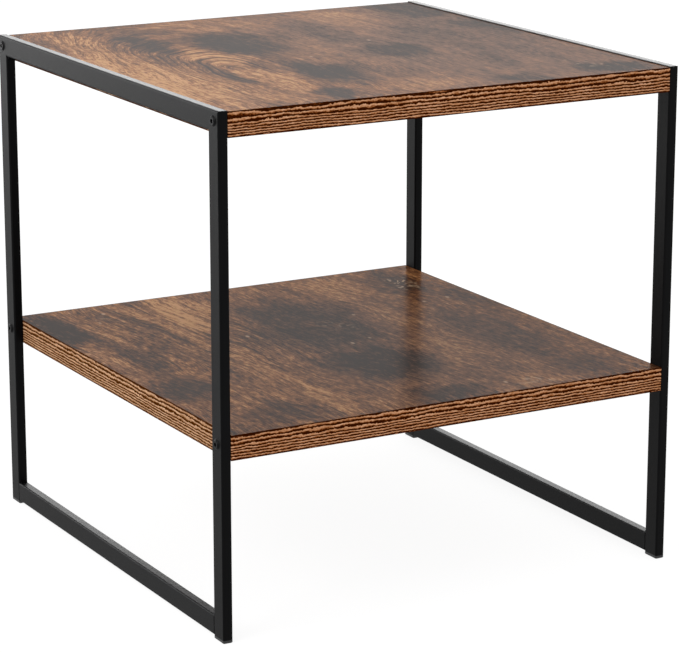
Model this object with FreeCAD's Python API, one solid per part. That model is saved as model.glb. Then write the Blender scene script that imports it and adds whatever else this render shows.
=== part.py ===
import FreeCAD, Part
import math
import os

# End table with a shelf. Two welded side frames of rectangular steel tube stand left and right.
# A tabletop and a shelf of edge-banded board lie between them, each held by four bolts that go
# through the posts into threaded inserts in the ends of the board. Ribbed glides plug the posts.
#
# Millimetres. +X runs from the left frame to the right one, +Y from front to back and +Z up.
# The origin is on the floor, under the middle of the table.

# ---- the whole table
TABLE_WIDTH = 500.0  # over the outer faces of the two side frames
TABLE_DEPTH = 500.0  # over the posts, front to back
FRAME_HEIGHT = 500.0  # of a welded side frame, without its glides
TABLETOP_DROP = 1.0  # tabletop's upper face below the top of the frames
SHELF_SURFACE = 201.0  # shelf's upper face above the floor

# ---- tube of the side frames
TUBE_WIDE = 20.0  # the side seen from the left or right of the table
TUBE_NARROW = 10.0  # the side seen from the front
TUBE_WALL = 1.2
TUBE_CORNER = 1.8  # outer radius along the tube
WELD_LEG = 2.4  # of the bead in each inside corner
WELD_CROWN = 0.25  # rise of the bead over the line between its toes

# ---- boards and their edge bands
BOARD_THICKNESS = 24.0
BAND_THICKNESS = 1.0

# ---- bolts with a low button head
BOLT_DIAMETER = 6.0
BOLT_LENGTH = 30.0  # under the head
BOLT_HOLE_CLEARANCE = 0.3  # all round, in the tube
HEAD_DIAMETER = 10.5
HEAD_HEIGHT = 1.6
HEAD_FLAT_DIAMETER = 7.4  # flat top of the dome
SOCKET_FLATS = 4.0  # across the flats of the hexagon
SOCKET_DEPTH = 2.1

# ---- threaded inserts
INSERT_DIAMETER = 9.0
INSERT_LENGTH = 15.0
INSERT_DRIVE_FLATS = 6.5  # hexagonal drive in the mouth, across its flats
INSERT_DRIVE_DEPTH = 4.0
INSERT_SEAT_FIT = 0.05  # all round, in the board
INSERT_BOLT_FIT = 0.05  # all round, to the bolt
BORE_RUNOUT = 2.0  # bore beyond the deeper of insert and bolt

# ---- glides that plug the posts
GLIDE_BASE = 3.0  # thickness under the post
GLIDE_BASE_CHAMFER = 0.6
GLIDE_STEM = 16.0  # height inside the tube
GLIDE_STEM_WALL = 1.4
GLIDE_STEM_FIT = 0.6  # stem to the inside of the tube, all round
GLIDE_RIBS = 3
GLIDE_RIB_THICKNESS = 0.9
GLIDE_RIB_FIT = 0.05  # rib to the inside of the tube, all round

# ---- places that follow from the sizes above
FRAME_BOTTOM = GLIDE_BASE
FRAME_TOP = FRAME_BOTTOM + FRAME_HEIGHT
FRONT = -TABLE_DEPTH / 2
LEFT = -TABLE_WIDTH / 2
BOARD_LEFT = LEFT + TUBE_NARROW
TABLETOP_SURFACE = FRAME_TOP - TABLETOP_DROP
BOLT_INSET = TUBE_WIDE / 2  # bolt behind the front face, on the post's centre line
BOLT_DEPTH = TUBE_WIDE / 2 - TABLETOP_DROP  # bolt below a board's surface: both are bored alike
BORE_DEPTH = max(INSERT_LENGTH, BOLT_LENGTH - TUBE_NARROW) + BORE_RUNOUT
TUBE_BORE_WIDE = TUBE_WIDE - 2 * TUBE_WALL
TUBE_BORE_NARROW = TUBE_NARROW - 2 * TUBE_WALL
BOLT_HEIGHTS = (TABLETOP_SURFACE - BOLT_DEPTH, SHELF_SURFACE - BOLT_DEPTH)

X_AXIS = FreeCAD.Vector(1, 0, 0)
Y_AXIS = FreeCAD.Vector(0, 1, 0)
Z_AXIS = FreeCAD.Vector(0, 0, 1)
ORIGIN = FreeCAD.Vector(0, 0, 0)
QUARTER_TURN = 90
FULL_TURN = 360
HEXAGON = 6


def at(x, y, z):
    return FreeCAD.Vector(x, y, z)


def left_to_right(shape):
    """The same piece at the other side of the table."""
    return shape.mirror(ORIGIN, X_AXIS)


def front_to_rear(shape):
    return shape.mirror(ORIGIN, Y_AXIS)


def save(node, *solids):
    """One sub-part: a solid, or a group of separate solids such as a set of bolts."""
    shape = solids[0] if len(solids) == 1 else Part.makeCompound(list(solids))
    shape.exportStep(os.path.join("parts", node + ".step"))


def bar(size_x, size_y, height):
    """Upright bar, its section centred on the Z axis."""
    return Part.makeBox(size_x, size_y, height, at(-size_x / 2, -size_y / 2, 0))


def rounded_bar(size_x, size_y, height, corner):
    """The same bar with its upright edges rounded."""
    square = bar(size_x, size_y, height)
    upright = [edge for edge in square.Edges if edge.BoundBox.ZLength > height / 2]
    return square.makeFillet(corner, upright)


def tube(length):
    """Upright rectangular tube, its narrow side along X, centred on the Z axis."""
    outside = rounded_bar(TUBE_NARROW, TUBE_WIDE, length, TUBE_CORNER)
    return outside.cut(bar(TUBE_BORE_NARROW, TUBE_BORE_WIDE, length))


def rail_tube(length):
    """The same tube lying along Y from the origin, its wide side upright."""
    lying = tube(length)
    lying.rotate(ORIGIN, X_AXIS, -QUARTER_TURN)
    return lying


def polygon(points):
    return Part.makePolygon(points + [points[0]])


# ---- side frame


def mitre_corner():
    """Wedge over the top front corner: what the post's end loses and the top rail's end keeps."""
    low = FRAME_TOP - TUBE_WIDE
    corner = [
        at(LEFT, FRONT, FRAME_TOP),
        at(LEFT, FRONT + TUBE_WIDE, low),
        at(LEFT, FRONT + TUBE_WIDE, FRAME_TOP),
    ]
    return Part.Face(polygon(corner)).extrude(X_AXIS * TUBE_NARROW)


def bolt_holes():
    """Cylinders through the left front post, one at the tabletop and one at the shelf."""
    radius = BOLT_DIAMETER / 2 + BOLT_HOLE_CLEARANCE
    holes = [
        Part.makeCylinder(radius, TUBE_NARROW, at(LEFT, FRONT + BOLT_INSET, height), X_AXIS)
        for height in BOLT_HEIGHTS
    ]
    return Part.makeCompound(holes)


def front_post():
    post = tube(FRAME_HEIGHT)
    post.translate(at(LEFT + TUBE_NARROW / 2, FRONT + TUBE_WIDE / 2, FRAME_BOTTOM))
    return post.cut(mitre_corner()).cut(bolt_holes())


def top_rail():
    rail = rail_tube(TABLE_DEPTH)
    rail.translate(at(LEFT + TUBE_NARROW / 2, FRONT, FRAME_TOP - TUBE_WIDE / 2))
    wedge = mitre_corner()
    middle = Part.makeBox(
        TUBE_NARROW,
        TABLE_DEPTH - 2 * TUBE_WIDE,
        TUBE_WIDE,
        at(LEFT, FRONT + TUBE_WIDE, FRAME_TOP - TUBE_WIDE),
    )
    kept = middle.fuse([wedge, front_to_rear(wedge)])
    holes = bolt_holes()
    return rail.common(kept).cut([holes, front_to_rear(holes)])


def bottom_rail():
    rail = rail_tube(TABLE_DEPTH - 2 * TUBE_WIDE)
    rail.translate(at(LEFT + TUBE_NARROW / 2, FRONT + TUBE_WIDE, FRAME_BOTTOM + TUBE_WIDE / 2))
    return rail


def weld_bead(height, rise):
    """Bead in the inside corner behind the front post. rise is 1 above a rail and -1 under one."""
    inner = FRONT + TUBE_WIDE
    middle = WELD_LEG / 2 + WELD_CROWN / math.sqrt(2)
    start = LEFT + TUBE_CORNER
    root = at(start, inner, height)
    on_rail = at(start, inner + WELD_LEG, height)
    on_post = at(start, inner, height + rise * WELD_LEG)
    crown = at(start, inner + middle, height + rise * middle)
    section = [
        Part.LineSegment(root, on_rail).toShape(),
        Part.Arc(on_rail, crown, on_post).toShape(),
        Part.LineSegment(on_post, root).toShape(),
    ]
    flat_of_tube = TUBE_NARROW - 2 * TUBE_CORNER
    return Part.Face(Part.Wire(section)).extrude(X_AXIS * flat_of_tube)


def frame_welds():
    front = [
        weld_bead(FRAME_TOP - TUBE_WIDE, -1),
        weld_bead(FRAME_BOTTOM + TUBE_WIDE, 1),
    ]
    return front + [front_to_rear(bead) for bead in front]


def glide_base():
    """Foot of the glide, with the tube's own outline."""
    base = rounded_bar(TUBE_NARROW, TUBE_WIDE, GLIDE_BASE, TUBE_CORNER)
    underside = [edge for edge in base.Edges if edge.BoundBox.ZMax < GLIDE_BASE / 2]
    return base.makeChamfer(GLIDE_BASE_CHAMFER, underside)


def inside_tube(gap, height, bottom):
    """Upright bar inside the tube's bore, with the same gap all round."""
    filling = bar(TUBE_BORE_NARROW - 2 * gap, TUBE_BORE_WIDE - 2 * gap, height)
    filling.translate(at(0, 0, bottom))
    return filling


def glide():
    """Plug under the left front post: a base and a hollow stem with ribs that grip the tube."""
    stem = inside_tube(GLIDE_STEM_FIT, GLIDE_STEM, GLIDE_BASE)
    hollow = inside_tube(GLIDE_STEM_FIT + GLIDE_STEM_WALL, GLIDE_STEM, GLIDE_BASE)
    pitch = GLIDE_STEM / (GLIDE_RIBS + 1)
    ribs = [
        inside_tube(GLIDE_RIB_FIT, GLIDE_RIB_THICKNESS, GLIDE_BASE + number * pitch)
        for number in range(1, GLIDE_RIBS + 1)
    ]
    plug = glide_base().fuse([stem] + ribs).cut(hollow).removeSplitter()
    plug.translate(at(LEFT + TUBE_NARROW / 2, FRONT + TUBE_WIDE / 2, 0))
    return plug


# ---- boards


def board_bores(surface):
    """The four blind bores in the ends of a board."""
    front = Part.makeCylinder(
        INSERT_DIAMETER / 2 + INSERT_SEAT_FIT,
        BORE_DEPTH,
        at(BOARD_LEFT, FRONT + BOLT_INSET, surface - BOLT_DEPTH),
        X_AXIS,
    )
    return Part.makeCompound(all_four(front))


def board_core(surface):
    core = Part.makeBox(
        TABLE_WIDTH - 2 * (TUBE_NARROW + BAND_THICKNESS),
        TABLE_DEPTH - 2 * BAND_THICKNESS,
        BOARD_THICKNESS,
        at(BOARD_LEFT + BAND_THICKNESS, FRONT + BAND_THICKNESS, surface - BOARD_THICKNESS),
    )
    return core.cut(board_bores(surface))


def band_strip(length):
    """Edge band along X from the origin, its glued face on the plane Y = 0 and its top at Z = 0."""
    corner = at(0, -BAND_THICKNESS, -BOARD_THICKNESS)
    return Part.makeBox(length, BAND_THICKNESS, BOARD_THICKNESS, corner)


def front_band(surface):
    """The front band covers the ends of the left and right bands too."""
    strip = band_strip(TABLE_WIDTH - 2 * TUBE_NARROW)
    strip.translate(at(BOARD_LEFT, FRONT + BAND_THICKNESS, surface))
    return strip


def left_band(surface):
    strip = band_strip(TABLE_DEPTH - 2 * BAND_THICKNESS)
    strip.rotate(ORIGIN, Z_AXIS, -QUARTER_TURN)
    strip.translate(at(BOARD_LEFT + BAND_THICKNESS, -FRONT - BAND_THICKNESS, surface))
    return strip.cut(board_bores(surface))


# ---- fasteners


def hexagonal_prism(flats, length):
    """Prism along +X from the origin, with a corner straight up."""
    turn = FreeCAD.Rotation(X_AXIS, FULL_TURN / HEXAGON)
    corners = [at(0, 0, flats / math.sqrt(3))]
    for _ in range(HEXAGON - 1):
        corners.append(turn.multVec(corners[-1]))
    return Part.Face(polygon(corners)).extrude(X_AXIS * length)


def button_head():
    """Cap of a sphere through the head's edge and the edge of its flat top, on the X axis."""
    edge = HEAD_DIAMETER / 2
    flat = HEAD_FLAT_DIAMETER / 2
    centre = (edge**2 - flat**2 - HEAD_HEIGHT**2) / (2 * HEAD_HEIGHT)
    radius = math.hypot(centre, edge)
    middle = (math.atan2(edge, -centre) + math.atan2(flat, -HEAD_HEIGHT - centre)) / 2
    dome = at(centre + radius * math.cos(middle), 0, radius * math.sin(middle))
    outline = [
        Part.LineSegment(ORIGIN, at(-HEAD_HEIGHT, 0, 0)).toShape(),
        Part.LineSegment(at(-HEAD_HEIGHT, 0, 0), at(-HEAD_HEIGHT, 0, flat)).toShape(),
        Part.Arc(at(-HEAD_HEIGHT, 0, flat), dome, at(0, 0, edge)).toShape(),
        Part.LineSegment(at(0, 0, edge), ORIGIN).toShape(),
    ]
    return Part.Face(Part.Wire(outline)).revolve(ORIGIN, X_AXIS, FULL_TURN)


def bolt():
    """Button head bolt along +X, its head's underside on the plane X = 0."""
    shank = Part.makeCylinder(BOLT_DIAMETER / 2, BOLT_LENGTH, ORIGIN, X_AXIS)
    socket = hexagonal_prism(SOCKET_FLATS, SOCKET_DEPTH)
    socket.translate(at(-HEAD_HEIGHT, 0, 0))
    return button_head().fuse(shank).cut(socket)


def insert():
    """Threaded insert along +X, its mouth on the plane X = 0 with a hexagonal drive."""
    body = Part.makeCylinder(INSERT_DIAMETER / 2, INSERT_LENGTH, ORIGIN, X_AXIS)
    bore = Part.makeCylinder(BOLT_DIAMETER / 2 + INSERT_BOLT_FIT, INSERT_LENGTH, ORIGIN, X_AXIS)
    return body.cut([bore, hexagonal_prism(INSERT_DRIVE_FLATS, INSERT_DRIVE_DEPTH)])


def all_four(left_front):
    """A piece at the left front, and the same at the other three posts."""
    left = [left_front, front_to_rear(left_front)]
    return left + [left_to_right(piece) for piece in left]


def fastener_set(piece, start, surface):
    placed = piece.copy()
    placed.translate(at(start, FRONT + BOLT_INSET, surface - BOLT_DEPTH))
    return all_four(placed)


# ---- the table


def write_frames():
    pieces = {
        "front_post": [front_post()],
        "rear_post": [front_to_rear(front_post())],
        "top_rail": [top_rail()],
        "bottom_rail": [bottom_rail()],
        "frame_welds": frame_welds(),
        "front_glide": [glide()],
        "rear_glide": [front_to_rear(glide())],
    }
    for name, solids in pieces.items():
        save("left_" + name, *solids)
        save("right_" + name, *[left_to_right(solid) for solid in solids])


def write_board(name, surface):
    save(name + "_board", board_core(surface))
    front = front_band(surface)
    left = left_band(surface)
    save(name + "_front_band", front)
    save(name + "_rear_band", front_to_rear(front))
    save(name + "_left_band", left)
    save(name + "_right_band", left_to_right(left))
    save(name + "_bolts", *fastener_set(bolt(), LEFT, surface))
    save(name + "_inserts", *fastener_set(insert(), BOARD_LEFT, surface))


os.makedirs("parts", exist_ok=True)
write_frames()
write_board("tabletop", TABLETOP_SURFACE)
write_board("shelf", SHELF_SURFACE)
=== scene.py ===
import math

import bpy
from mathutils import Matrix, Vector


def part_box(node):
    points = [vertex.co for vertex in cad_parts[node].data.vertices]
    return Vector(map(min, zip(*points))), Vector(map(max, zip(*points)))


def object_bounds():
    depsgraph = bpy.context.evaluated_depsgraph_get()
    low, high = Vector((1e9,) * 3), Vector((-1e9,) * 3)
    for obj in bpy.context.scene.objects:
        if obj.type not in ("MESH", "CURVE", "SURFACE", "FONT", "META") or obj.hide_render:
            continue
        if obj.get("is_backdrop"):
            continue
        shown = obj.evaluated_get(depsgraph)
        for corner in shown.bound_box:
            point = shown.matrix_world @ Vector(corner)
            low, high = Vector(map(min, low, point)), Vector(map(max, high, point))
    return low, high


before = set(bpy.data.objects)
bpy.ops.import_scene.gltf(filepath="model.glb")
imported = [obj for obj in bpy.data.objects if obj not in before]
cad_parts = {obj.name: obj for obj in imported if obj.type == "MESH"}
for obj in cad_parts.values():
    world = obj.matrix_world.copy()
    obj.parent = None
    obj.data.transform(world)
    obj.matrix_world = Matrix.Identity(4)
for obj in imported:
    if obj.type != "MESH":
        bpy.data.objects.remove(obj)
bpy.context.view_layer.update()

# The looks of a square end table with a shelf: satin black powder-coated tube, boards faced with a
# rustic wood print that runs front to back, edge bands printed with dark wavy grain, black button
# head bolts, zinc plated inserts and moulded glides. Metres, in the same frame as the CAD model,
# except for the wood prints, which are laid out in millimetres.


def srgb(red, green, blue):
    """Linear RGBA of a colour given in 0 to 255."""

    def linear(level):
        share = level / 255
        return share / 12.92 if share <= 0.04045 else ((share + 0.055) / 1.055) ** 2.4

    return (linear(red), linear(green), linear(blue), 1.0)


MM = 0.001
WHITE = (1, 1, 1, 1)
NOISE_MIDDLE = 0.5
NOISE_BULK = (0.3, 0.7)  # nearly all of a noise's values lie between these two

# ---- camera, in the photograph's frame of 679 x 653 pixels
IMAGE_WIDTH = 679
SENSOR_WIDTH = 36.0
CAMERA_PLACE = (-1.3872, -2.4997, 0.9672)
CAMERA_YAW = 29.267  # degrees from +Y towards +X
CAMERA_PITCH = 14.71  # degrees below level
FOCAL_PIXELS = 2881.56

# ---- light: each lamp's place, its side length, its watts and whether it shows only in reflections
LAMPS = {
    "key": ((-2.3, -0.7, 1.9), 1.4, 33, False),
    "top": ((0.5, 0.5, 2.6), 1.8, 9, False),
    "back": ((1.85, 3.0, 1.7), 2.6, 42, False),
    "rim": ((-1.6, 2.8, 0.8), 1.6, 46, True),
    "back_gloss": ((1.9, 3.02, 1.9), 2.4, 84, True),
}
FILL_STRENGTH = 0.72
BACKGROUND_STRENGTH = 1.0
FLOOR_REACH = 30.0
FLOOR_LIT_COLOUR = (0.8, 0.8, 0.8, 1)  # what the lighting rays meet
FLOOR_SHADE_COLOUR = (0.14, 0.14, 0.14, 1)  # what the camera sees: a little shade on top of the glow
FLOOR_GLOW = 0.91

# ---- powder coat. Each noise of this and of the next two materials has its size and its detail.
COAT_COLOURS = (srgb(2, 2, 3), srgb(7, 7, 8))
COAT_CLOUD = ((0.05, 0.05, 0.05), 4)
COAT_PEEL = ((0.0009, 0.0009, 0.0009), 2)
COAT_PEEL_HEIGHT = 0.00006
COAT_ROUGHNESS = (0.41, 0.49)
TUBE_GLOSS = 0.065
BOLT_GLOSS = 0.1

# ---- plastic of the glides
PLASTIC_COLOURS = (srgb(15, 15, 16), srgb(24, 24, 25))
PLASTIC_GRAIN = ((0.0005, 0.0005, 0.0005), 2)
PLASTIC_GRAIN_HEIGHT = 0.00005
PLASTIC_CLOUD = ((0.004, 0.004, 0.004), 3)
PLASTIC_ROUGHNESS = (0.5, 0.62)
SCUFF_COLOUR = srgb(92, 90, 86)
SCUFF_HEIGHTS = (0.0012, 0.0002)  # above the floor, from no scuff to full scuff
SCUFF_PATCHES = (0.45, 0.65)
SCUFF_SHARE = 0.4

# ---- zinc plate of the inserts
ZINC_COLOURS = (srgb(168, 170, 172), srgb(190, 184, 162))
ZINC_BLOOM = ((0.003, 0.003, 0.003), 4)
ZINC_CRYSTALS = ((0.0006, 0.0006, 0.0006), 2)
ZINC_CRYSTAL_HEIGHT = 0.00003
ZINC_ROUGHNESS = (0.28, 0.44)

# ---- printed wood, in millimetres. Each noise has its size across, along and through the grain, its
# detail and its roughness.
PRINT_ROUGHNESS = 0.5
FILM_ROUGHNESS = 0.25
WOOD_TONES = [
    (0.00, srgb(42, 31, 25)),
    (0.22, srgb(66, 44, 32)),
    (0.42, srgb(92, 59, 38)),
    (0.60, srgb(117, 76, 48)),
    (0.78, srgb(144, 98, 61)),
    (1.00, srgb(178, 132, 87)),
]
GRAIN_NOISES = {
    "fibre": ((1.1, 14, 6), 3, 0.7),
    "line": ((3.2, 90, 12), 4, 0.6),
    "stripe": ((9, 210, 40), 3, 0.5),
}
CLOUD_NOISES = {
    "mottle": ((4.5, 10, 5), 5, 0.65),
    "cloud": ((34, 60, 38), 4, 0.6),
}
WANDER_NOISE = ((60, 170, 60), 1.5)
WANDER_SHIFT = (0, 0, 150)  # to the slice of the noise whose bends are taken
GRAIN_WANDER = 46  # the swing of the grain to either side, over the noise's whole range
SIDE_SHIFT = 0.15  # moves the noise along with the way across, so that the heart's two sides differ
AREA_RAGS = ((30, 60, 30), 4)  # the noise that frays the areas' outlines
AREA_BEND = (46, 80, 0)  # how far it moves them, over the noise's whole range
AREA_FADE = (1.5, 0.5)  # from nothing to full strength, in half widths and half lengths
LIGHT_LIFT = 0.42
DARK_DROP = 0.5
FIGURE_GAINS = {"stripe": 0.5, "line": 0.5, "fibre": 0.6}
RING_DEPTH = 0.34
RING_WOBBLE = {"mottle": 0.25}
RING_RISE = (0.3, 0.8)  # shares of the way from ring to ring
RING_FALL = (1.0, 0.86)
RING_CHANCES = (0.2, 0.8)  # the random values of the faintest and of the darkest rings
RING_STRENGTHS = (0.1, 1.0)
WASH_COLOUR = srgb(118, 95, 84)
WASH_TONES = (0.1, 0.45)  # the wash spares what is darker
NICK_COLOUR = srgb(190, 160, 130)
NICK_SHARE = 0.65
NICK_CELL = (34, 60, 34)
NICK_RADIUS = 0.08  # in cells, as for the worn specks
WORN_CELL = (8, 10, 8)
WORN_RADIUS = 0.4
WORN_KEPT = 0.8
SPECK_FADE = 3  # a speck fades out from its radius divided by this

# tone: the middle tone; film: weight of the clear film; heart: x and y where the arches of the grain
# start, flatness of the arches and lean of the grain; ring_pitch: distance between growth rings;
# gains: strength of each noise; nicked: share of the cells with a nick; the rest are areas, each with
# its x, y, half width, half length and strength
TABLETOP_PRINT = {
    "tone": 0.45,
    "film": 0.056,
    "heart": (-122, -50, 0.36, -0.03),
    "ring_pitch": 6.5,
    "gains": {"cloud": 0.5, "mottle": 0.95, "stripe": 0.4, "line": 0.6, "fibre": 1.3},
    "nicked": 0.1,
    "dark": [
        (-59, 92, 42, 72, 0.95),
        (-140, 120, 20, 62, 0.8),
        (-96, 196, 36, 12, 0.45),
        (-58, -112, 27, 62, 1.0),
        (65, -28, 38, 40, 0.8),
        (53, 100, 28, 80, 0.35),
        (200, -218, 38, 26, 1.0),
        (121, -126, 18, 50, 0.4),
        (-108, -206, 17, 34, 0.9),
        (215, 205, 34, 64, 0.8),
        (228, 60, 24, 66, 0.8),
        (-148, -92, 9, 40, 0.5),
        (92, -224, 28, 24, 0.6),
        (168, 10, 66, 130, 0.3),
    ],
    "light": [
        (-222, -60, 42, 200, 1.0),
        (-116, 38, 30, 52, 1.1),
        (-122, -130, 26, 90, 0.7),
        (-170, -180, 30, 60, 0.5),
        (-30, -205, 66, 40, 0.45),
        (-40, 205, 64, 40, 0.55),
        (116, 172, 36, 70, 0.65),
        (-200, 190, 28, 60, 0.7),
        (0, 0, 40, 90, 0.25),
    ],
    "worn": [(190, -185, 24, 26, 0.5)],
    "figured": [(-190, 0, 62, 260, 1.0), (-110, 20, 40, 90, 1.0), (-60, 0, 120, 260, 0.4)],
    "ringed": [(-128, 0, 60, 110, 1.2), (-180, 80, 34, 200, 0.6)],
    "washed": [(150, 0, 190, 320, 0.26)],
}
SHELF_PRINT = {
    "tone": 0.505,
    "film": 0.048,
    "heart": (-330, 0, 0.0, 0.09),
    "ring_pitch": 8.0,
    "gains": {"cloud": 0.4, "mottle": 1.3, "stripe": 0.5, "line": 0.8, "fibre": 1.8},
    "nicked": 0.6,
    "dark": [
        (15, 62, 60, 108, 0.85),
        (8, -92, 54, 60, 1.0),
        (170, -60, 32, 100, 0.6),
        (-226, 172, 26, 66, 1.1),
        (-194, 25, 16, 60, 0.6),
        (-206, -90, 34, 42, 0.8),
        (15, -225, 36, 30, 0.8),
        (190, 190, 26, 60, 0.6),
        (226, 100, 18, 50, 0.5),
        (-165, -205, 40, 32, 0.4),
        (182, -204, 32, 40, 0.45),
    ],
    "light": [
        (-88, 180, 20, 96, 1.15),
        (-116, 100, 9, 130, 0.6),
        (-58, 190, 15, 64, 0.7),
        (112, 190, 28, 52, 0.55),
        (118, 60, 26, 60, 0.2),
        (-104, -60, 16, 80, 0.6),
        (92, -82, 30, 60, 0.45),
        (-100, -190, 12, 60, 0.6),
        (-226, 60, 10, 44, 0.6),
        (112, -226, 22, 26, 0.6),
    ],
    "worn": [
        (190, 176, 18, 34, 1.0),
        (108, -228, 20, 14, 0.8),
        (-168, 184, 12, 16, 0.6),
        (40, 60, 16, 40, 0.35),
    ],
    "figured": [(-120, 110, 90, 200, 1.2), (-120, -180, 60, 90, 0.5)],
    "ringed": [(-105, 110, 58, 170, 1.0)],
    "washed": [(60, -60, 120, 200, 0.15)],
}

# ---- edge bands, in millimetres. Each noise has its size along the band, down it and through it, and
# its detail.
BAND_TONES = [
    (0.00, srgb(50, 15, 0)),
    (0.20, srgb(116, 57, 18)),
    (0.40, srgb(152, 94, 53)),
    (0.60, srgb(180, 124, 84)),
    (0.80, srgb(199, 144, 105)),
    (1.00, srgb(228, 176, 140)),
]
# The side bands' ramp is the front bands' ramp made lighter and less saturated: painted sheen, the left
# lamp's reflection painted into their colour.
SIDE_BAND_SHEEN_TONES = [
    (0.00, srgb(70, 34, 8)),
    (0.20, srgb(124, 80, 44)),
    (0.40, srgb(148, 106, 72)),
    (0.60, srgb(170, 127, 94)),
    (0.80, srgb(194, 154, 120)),
    (1.00, srgb(226, 186, 150)),
]
BAND_NOISES = {
    "swell": ((75, 14, 10), 2),
    "wave": ((12, 6, 10), 2),
    "jitter": ((2.6, 2.0, 10), 2),
    "weight": ((30, 5, 10), 2),
    "fibre": ((6, 0.5, 10), 3),
    "hair": ((0.8, 2.2, 10), 2),
}
BAND_TONE = 0.8
BAND_TONE_GAINS = {"fibre": 1.2, "hair": 0.5, "weight": 0.6}
BAND_LINE_PITCH = 4.3
BAND_LINE_START = 0.78  # in pitches, as are the swings
BAND_LINE_SWINGS = {"swell": 1.3, "wave": 0.8, "jitter": 0.65}
BAND_LINE_RISE = (0.15, 0.68)  # shares of the way from line to line
BAND_LINE_FALL = (1.0, 0.9)
BAND_LINE_TONE = -0.95
BAND_LINE_TONE_GAINS = {"weight": -0.6}
BAND_CROWDED_BELOW = 11.0
BAND_CROWDING = 0.65  # further lines for each one, below that depth
BAND_UPPER_EDGE = (1.1, 0.4)  # depths between which the dark edge sets in
BAND_LOWER_EDGE = (23.0, 23.7)
BAND_EDGE_TONE = -0.7
TABLETOP_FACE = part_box("tabletop_board")[1][2] / MM
SHELF_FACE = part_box("shelf_board")[1][2] / MM

# height of each board's upper face, and how far below it the first dark line of its bands is
BANDED_BOARDS = {"tabletop": (TABLETOP_FACE, 1.3), "shelf": (SHELF_FACE, 0.5)}


# ---- shader nodes


class Nodes:
    """A node tree and short ways to add nodes to it."""

    def __init__(self, tree):
        self.tree = tree

    def add(self, kind, inputs=None, **settings):
        """A node of this kind; each input is a value or the output of another node."""
        made = self.tree.nodes.new("ShaderNode" + kind)
        for name, value in settings.items():
            setattr(made, name, value)
        for socket, value in (inputs or {}).items():
            self.join(made.inputs[socket], value)
        return made

    def join(self, socket, value):
        """Sets the socket to the value, or links it where the value is the output of another node."""
        if isinstance(value, bpy.types.NodeSocket):
            self.tree.links.new(value, socket)
        else:
            socket.default_value = value

    def math(self, operation, first, second=0.0, third=0.0):
        return self.add("Math", {0: first, 1: second, 2: third}, operation=operation).outputs[0]


class Paint(Nodes):
    """A new material and short ways to paint with its nodes."""

    def __init__(self, name):
        self.material = bpy.data.materials.new(name)
        self.material.use_nodes = True
        super().__init__(self.material.node_tree)
        self.shader = self.tree.nodes["Principled BSDF"]
        self.place = self.add("TexCoord").outputs["Object"]

    def set(self, **values):
        """Sets the shader's own sockets; underscores stand for spaces."""
        for name, value in values.items():
            self.join(self.shader.inputs[name.replace("_", " ")], value)

    def vector_math(self, operation, first, second=(0, 0, 0), third=(0, 0, 0)):
        inputs = {0: first, 1: second, 2: third}
        return self.add("VectorMath", inputs, operation=operation).outputs[0]

    def length(self, vector):
        return self.add("VectorMath", {0: vector}, operation="LENGTH").outputs["Value"]

    def axes(self, vector):
        """The three parts of the vector."""
        return list(self.add("SeparateXYZ", {0: vector}).outputs)

    def joined(self, x, y, z=0.0):
        """The vector with these three parts."""
        return self.add("CombineXYZ", {0: x, 1: y, 2: z}).outputs[0]

    def scaled(self, vector, size):
        """The vector in units of size, so that a noise on it has features of about that size."""
        return self.vector_math("MULTIPLY", vector, tuple(1 / length for length in size))

    def millimetres(self):
        """The place on the piece in millimetres, in the frame's own axes."""
        return self.scaled(self.place, (MM, MM, MM))

    def ramp(self, value, stops):
        """Colour ramp through (position, colour) stops."""
        made = self.add("ValToRGB", {0: value})
        points = made.color_ramp.elements
        points[0].position, points[0].color = stops[0]
        points[1].position, points[1].color = stops[-1]
        for position, colour in stops[1:-1]:
            points.new(position).color = colour
        return made.outputs["Color"]

    def spread(self, value, low, high, to_low=0.0, to_high=1.0):
        """Smooth step from to_low at low to to_high at high."""
        inputs = {"Value": value, "From Min": low, "From Max": high, "To Min": to_low, "To Max": to_high}
        return self.add("MapRange", inputs, interpolation_type="SMOOTHSTEP").outputs[0]

    def ridge(self, value, rise, fall):
        """1 between the rise and the fall, and 0 outside them."""
        return self.math("MULTIPLY", self.spread(value, *rise), self.spread(value, *fall))

    def noise(self, vector, size, detail, roughness=0.5):
        """Noise from 0 to 1 with features of this size along X, Y and Z."""
        inputs = {
            "Vector": self.scaled(vector, size),
            "Scale": 1.0,
            "Detail": detail,
            "Roughness": roughness,
        }
        return self.add("TexNoise", inputs).outputs["Fac"]

    def noises(self, vector, kinds):
        """One noise for each of the named kinds."""
        return {name: self.noise(vector, *values) for name, values in kinds.items()}

    def swing(self, noise):
        """The noise with 0 as its middle."""
        return self.math("SUBTRACT", noise, NOISE_MIDDLE)

    def mixture(self, middle, noises, gains):
        """The middle value plus the swing of each noise that has a gain, times that gain."""
        total = middle
        for name, gain in gains.items():
            total = self.math("MULTIPLY_ADD", self.swing(noises[name]), gain, total)
        return total

    def blend(self, share, first, second):
        """The first colour, with this share of the second."""
        return self.add("Mix", {0: share, 6: first, 7: second}, data_type="RGBA").outputs[2]

    def bump(self, height, distance):
        bump = self.add("Bump", {"Height": height, "Distance": distance, "Strength": 1.0})
        self.join(self.shader.inputs["Normal"], bump.outputs["Normal"])


# ---- metal and plastic


def powder_coat(name, gloss):
    """Satin black powder coat: a fine orange peel over steel."""
    paint = Paint(name)
    cloud = paint.noise(paint.place, *COAT_CLOUD)
    peel = paint.noise(paint.place, *COAT_PEEL)
    paint.set(Base_Color=paint.blend(cloud, *COAT_COLOURS), Specular_IOR_Level=gloss)
    paint.set(Roughness=paint.spread(peel, *NOISE_BULK, *COAT_ROUGHNESS))
    paint.bump(peel, COAT_PEEL_HEIGHT)
    return paint.material


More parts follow.
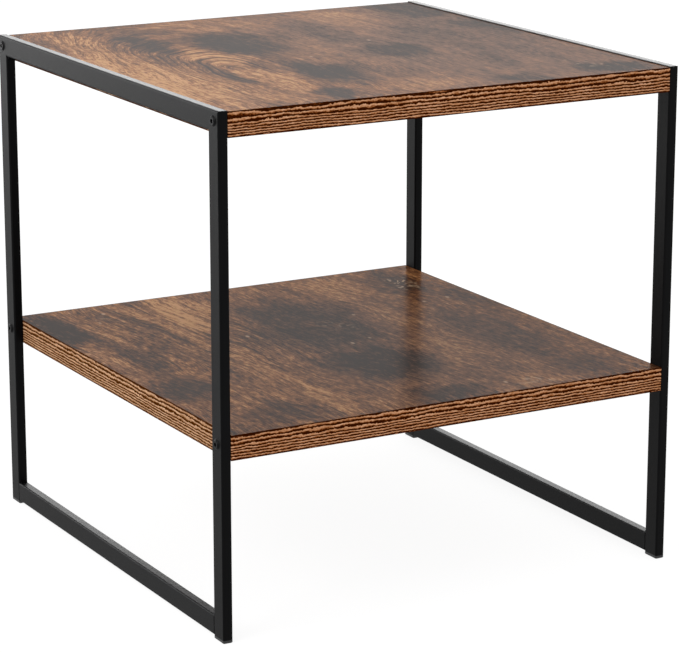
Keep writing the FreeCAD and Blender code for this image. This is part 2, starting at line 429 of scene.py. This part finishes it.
def moulded_plastic(name):
    """Black polypropylene with a fine spark-eroded grain, scuffed grey where it slides on the floor."""
    paint = Paint(name)
    grain = paint.noise(paint.place, *PLASTIC_GRAIN)
    cloud = paint.noise(paint.place, *PLASTIC_CLOUD)
    low = paint.spread(paint.axes(paint.place)[2], *SCUFF_HEIGHTS)
    scuff = paint.math("MULTIPLY", low, paint.spread(cloud, *SCUFF_PATCHES))
    colour = paint.blend(cloud, *PLASTIC_COLOURS)
    colour = paint.blend(paint.math("MULTIPLY", scuff, SCUFF_SHARE), colour, SCUFF_COLOUR)
    paint.set(Base_Color=colour, Roughness=paint.spread(grain, *NOISE_BULK, *PLASTIC_ROUGHNESS))
    paint.bump(grain, PLASTIC_GRAIN_HEIGHT)
    return paint.material


def zinc_plate(name):
    """Zinc-plated steel with a faint yellowish bloom."""
    paint = Paint(name)
    bloom = paint.noise(paint.place, *ZINC_BLOOM)
    crystals = paint.noise(paint.place, *ZINC_CRYSTALS)
    paint.set(Base_Color=paint.blend(bloom, *ZINC_COLOURS), Metallic=1.0)
    paint.set(Roughness=paint.spread(crystals, *NOISE_BULK, *ZINC_ROUGHNESS))
    paint.bump(crystals, ZINC_CRYSTAL_HEIGHT)
    return paint.material


# ---- printed wood


def grain_flow(paint, place, heart):
    """Coordinates that follow a flat-sawn plank's grain: across its growth rings, along them, through."""
    heart_x, heart_y, flatness, lean = heart
    x, y, z = paint.axes(place)
    wander = paint.noise(paint.vector_math("ADD", place, WANDER_SHIFT), *WANDER_NOISE)
    across = paint.math("SUBTRACT", paint.math("MULTIPLY_ADD", y, lean, x), heart_x)
    across = paint.math("MULTIPLY_ADD", paint.swing(wander), GRAIN_WANDER, across)
    beyond = paint.math("MAXIMUM", paint.math("SUBTRACT", y, heart_y), 0.0)
    radius = paint.length(paint.joined(across, paint.math("MULTIPLY", beyond, flatness)))
    depth = paint.math("MULTIPLY_ADD", across, SIDE_SHIFT, z)
    return paint.joined(radius, y, depth)


def bent_place(paint, place):
    """The place, pushed to and fro so that the areas of the print get ragged outlines."""
    size, detail = AREA_RAGS
    inputs = {"Vector": paint.scaled(place, size), "Scale": 1.0, "Detail": detail}
    rags = paint.add("TexNoise", inputs).outputs["Color"]
    push = paint.vector_math("SUBTRACT", rags, (NOISE_MIDDLE, NOISE_MIDDLE, NOISE_MIDDLE))
    return paint.vector_math("MULTIPLY_ADD", push, AREA_BEND, place)


def soft_areas(paint, place, areas):
    """The strength inside each area of the print, fading out over its edge."""
    mask = 0.0
    for x, y, half_width, half_length, strength in areas:
        shares = (1 / half_width, 1 / half_length, 0)
        offset = paint.vector_math("SUBTRACT", place, (x, y, 0))
        distance = paint.length(paint.vector_math("MULTIPLY", offset, shares))
        mask = paint.math("MAXIMUM", mask, paint.spread(distance, *AREA_FADE, 0.0, strength))
    return mask


def growth_rings(paint, flow, noises, pitch):
    """Dark late-wood lines at this distance from each other, some fainter than others."""
    turns = paint.math("DIVIDE", paint.axes(flow)[0], pitch)
    turns = paint.math("ADD", turns, paint.mixture(0.0, noises, RING_WOBBLE))
    line = paint.ridge(paint.math("FRACT", turns), RING_RISE, RING_FALL)
    ring = paint.add("TexWhiteNoise", {"W": paint.math("FLOOR", turns)}, noise_dimensions="1D")
    strength = paint.spread(ring.outputs["Value"], *RING_CHANCES, *RING_STRENGTHS)
    return paint.math("MULTIPLY", line, strength)


def light_specks(paint, place, cell, radius, kept):
    """1 on light specks, at most one to a cell of this size, with the share of cells that is kept."""
    cells = paint.add("TexVoronoi", {"Vector": paint.scaled(place, cell), "Scale": 1.0})
    chosen = paint.math("LESS_THAN", paint.axes(cells.outputs["Color"])[0], kept)
    speck = paint.spread(cells.outputs["Distance"], radius, radius / SPECK_FADE)
    return paint.math("MULTIPLY", chosen, speck)


def print_tone(paint, place, bent, layout):
    """How light the print is, as a position on the ramp of wood tones."""
    flow = grain_flow(paint, place, layout["heart"])
    noises = {**paint.noises(flow, GRAIN_NOISES), **paint.noises(place, CLOUD_NOISES)}
    tone = paint.mixture(layout["tone"], noises, layout["gains"])
    tone = paint.math("MULTIPLY_ADD", soft_areas(paint, bent, layout["light"]), LIGHT_LIFT, tone)
    figure = paint.mixture(0.0, noises, FIGURE_GAINS)
    tone = paint.math("MULTIPLY_ADD", soft_areas(paint, bent, layout["figured"]), figure, tone)
    rings = growth_rings(paint, flow, noises, layout["ring_pitch"])
    rings = paint.math("MULTIPLY", rings, soft_areas(paint, bent, layout["ringed"]))
    tone = paint.math("MULTIPLY_ADD", rings, -RING_DEPTH, tone)
    return paint.math("MULTIPLY_ADD", soft_areas(paint, bent, layout["dark"]), -DARK_DROP, tone)


def light_marks(paint, place, bent, layout):
    """1 on the specks of the worn areas and on single nicks."""
    worn = light_specks(paint, bent, WORN_CELL, WORN_RADIUS, WORN_KEPT)
    worn = paint.math("MULTIPLY", worn, soft_areas(paint, place, layout["worn"]))
    nicks = light_specks(paint, place, NICK_CELL, NICK_RADIUS, layout["nicked"])
    return paint.math("MAXIMUM", worn, nicks)


def rustic_face(name, layout):
    """Printed rustic wood under a satin film, its grain running front to back."""
    paint = Paint(name)
    place = paint.millimetres()
    bent = bent_place(paint, place)
    tone = print_tone(paint, place, bent, layout)
    washed = soft_areas(paint, bent, layout["washed"])
    washed = paint.math("MULTIPLY", washed, paint.spread(tone, *WASH_TONES))
    colour = paint.blend(washed, paint.ramp(tone, WOOD_TONES), WASH_COLOUR)
    marked = paint.math("MULTIPLY", light_marks(paint, place, bent, layout), NICK_SHARE)
    colour = paint.blend(marked, colour, NICK_COLOUR)
    paint.set(Base_Color=colour, Roughness=PRINT_ROUGHNESS, Specular_IOR_Level=0.0)
    paint.set(Coat_Weight=layout["film"], Coat_Roughness=FILM_ROUGHNESS)
    return paint.material


# ---- edge bands


def band_lines(paint, noises, depth, first_line):
    """1 on the dark lines along an edge band, which lie closer together in its lower half."""
    crowded = paint.math("MAXIMUM", paint.math("SUBTRACT", depth, BAND_CROWDED_BELOW), 0.0)
    below = paint.math("SUBTRACT", depth, first_line)
    below = paint.math("MULTIPLY_ADD", crowded, BAND_CROWDING, below)
    lines = paint.math("DIVIDE", below, BAND_LINE_PITCH)
    lines = paint.math("ADD", lines, paint.mixture(BAND_LINE_START, noises, BAND_LINE_SWINGS))
    return paint.ridge(paint.math("FRACT", lines), BAND_LINE_RISE, BAND_LINE_FALL)


def edge_print(name, upper_face, first_line, tones):
    """Edge band printed with dark wavy grain that runs along it.

    upper_face is the board's height, and first_line how far below it the first dark line is.
    """
    paint = Paint(name)
    x, y, z = paint.axes(paint.millimetres())
    depth = paint.math("SUBTRACT", upper_face, z)
    place = paint.joined(paint.math("ADD", x, y), depth, upper_face)
    noises = paint.noises(place, BAND_NOISES)
    tone = paint.mixture(BAND_TONE, noises, BAND_TONE_GAINS)
    line = band_lines(paint, noises, depth, first_line)
    line_tone = paint.mixture(BAND_LINE_TONE, noises, BAND_LINE_TONE_GAINS)
    tone = paint.math("MULTIPLY_ADD", line, line_tone, tone)
    upper_edge = paint.spread(depth, *BAND_UPPER_EDGE)
    edges = paint.math("MAXIMUM", upper_edge, paint.spread(depth, *BAND_LOWER_EDGE))
    tone = paint.math("MULTIPLY_ADD", edges, BAND_EDGE_TONE, tone)
    paint.set(Base_Color=paint.ramp(tone, tones), Roughness=PRINT_ROUGHNESS, Specular_IOR_Level=0.0)
    return paint.material


def coat(material, *words):
    """Gives the material to every CAD node whose name has one of the words in it."""
    for name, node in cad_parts.items():
        if any(word in name for word in words):
            for slot in node.material_slots:
                slot.material = material


# ---- studio


def make_camera():
    data = bpy.data.cameras.new("camera")
    data.sensor_width = SENSOR_WIDTH
    data.lens = FOCAL_PIXELS * SENSOR_WIDTH / IMAGE_WIDTH
    camera = bpy.data.objects.new("camera", data)
    camera.location = CAMERA_PLACE
    camera.rotation_euler = (math.radians(90 - CAMERA_PITCH), 0, math.radians(-CAMERA_YAW))
    bpy.context.collection.objects.link(camera)
    bpy.context.scene.camera = camera


def seen_or_lighting(nodes, seen, lighting):
    """One shader for rays that show the background, straight or in a reflection, one for the others."""
    path = nodes.add("LightPath").outputs
    shows = path["Is Camera Ray"]
    for name in ("Is Glossy Ray", "Is Transmission Ray"):
        shows = nodes.math("MAXIMUM", shows, path[name])
    mix = nodes.add("MixShader", {0: shows, 1: lighting.outputs[0], 2: seen.outputs[0]})
    return mix.outputs[0]


def make_world():
    world = bpy.data.worlds.new("studio")
    bpy.context.scene.world = world
    world.use_nodes = True
    nodes = Nodes(world.node_tree)
    nodes.tree.nodes.remove(nodes.tree.nodes["Background"])
    fill = nodes.add("Background", {"Color": WHITE, "Strength": FILL_STRENGTH})
    seen = nodes.add("Background", {"Color": WHITE, "Strength": BACKGROUND_STRENGTH})
    surface = nodes.tree.nodes["World Output"].inputs["Surface"]
    nodes.join(surface, seen_or_lighting(nodes, seen, fill))


def pale_floor(name):
    """Lights the table like a pale floor, and shows itself nearly white with only a faint shadow."""
    material = bpy.data.materials.new(name)
    material.use_nodes = True
    nodes = Nodes(material.node_tree)
    nodes.tree.nodes.remove(nodes.tree.nodes["Principled BSDF"])
    lit = nodes.add("BsdfDiffuse", {"Color": FLOOR_LIT_COLOUR})
    shade = nodes.add("BsdfDiffuse", {"Color": FLOOR_SHADE_COLOUR})
    glow = nodes.add("Emission", {"Strength": FLOOR_GLOW})
    seen = nodes.add("AddShader", {0: shade.outputs[0], 1: glow.outputs[0]})
    surface = nodes.tree.nodes["Material Output"].inputs["Surface"]
    nodes.join(surface, seen_or_lighting(nodes, seen, lit))
    return material


def make_floor():
    mesh = bpy.data.meshes.new("floor")
    sides = ((-1, -1), (1, -1), (1, 1), (-1, 1))
    corners = [(x * FLOOR_REACH, y * FLOOR_REACH, 0) for x, y in sides]
    mesh.from_pydata(corners, [], [(0, 1, 2, 3)])
    floor = bpy.data.objects.new("floor", mesh)
    bpy.context.collection.objects.link(floor)
    mesh.materials.append(pale_floor("pale_floor"))
    floor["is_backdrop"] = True


def softbox(name, place, size, power, only_gloss):
    """Square area lamp that faces the middle of the table, and may show only in reflections."""
    data = bpy.data.lights.new(name, "AREA")
    data.size = size
    data.energy = power
    lamp = bpy.data.objects.new(name, data)
    lamp.location = place
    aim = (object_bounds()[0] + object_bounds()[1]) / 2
    lamp.rotation_euler = (aim - Vector(place)).to_track_quat("-Z", "Y").to_euler()
    lamp.visible_camera = False
    lamp.visible_diffuse = not only_gloss
    bpy.context.collection.objects.link(lamp)


make_camera()
make_world()
make_floor()
for name, values in LAMPS.items():
    softbox(name, *values)

coat(powder_coat("black_powder_coat", TUBE_GLOSS), "post", "rail", "weld")
coat(moulded_plastic("glide_plastic"), "glide")
coat(powder_coat("black_bolt", BOLT_GLOSS), "bolts")
coat(zinc_plate("insert_zinc"), "inserts")
for board, heights in BANDED_BOARDS.items():
    front_print = edge_print(board + "_edge_print", *heights, BAND_TONES)
    coat(front_print, board + "_front_band", board + "_rear_band")
    # painted sheen: the side bands take the lighter, less saturated ramp
    side_print_painted_sheen = edge_print(board + "_side_print_painted_sheen", *heights, SIDE_BAND_SHEEN_TONES)
    coat(side_print_painted_sheen, board + "_left_band", board + "_right_band")
coat(rustic_face("tabletop_print", TABLETOP_PRINT), "tabletop_board")
coat(rustic_face("shelf_print", SHELF_PRINT), "shelf_board")

bpy.context.scene.view_settings.view_transform = "Standard"
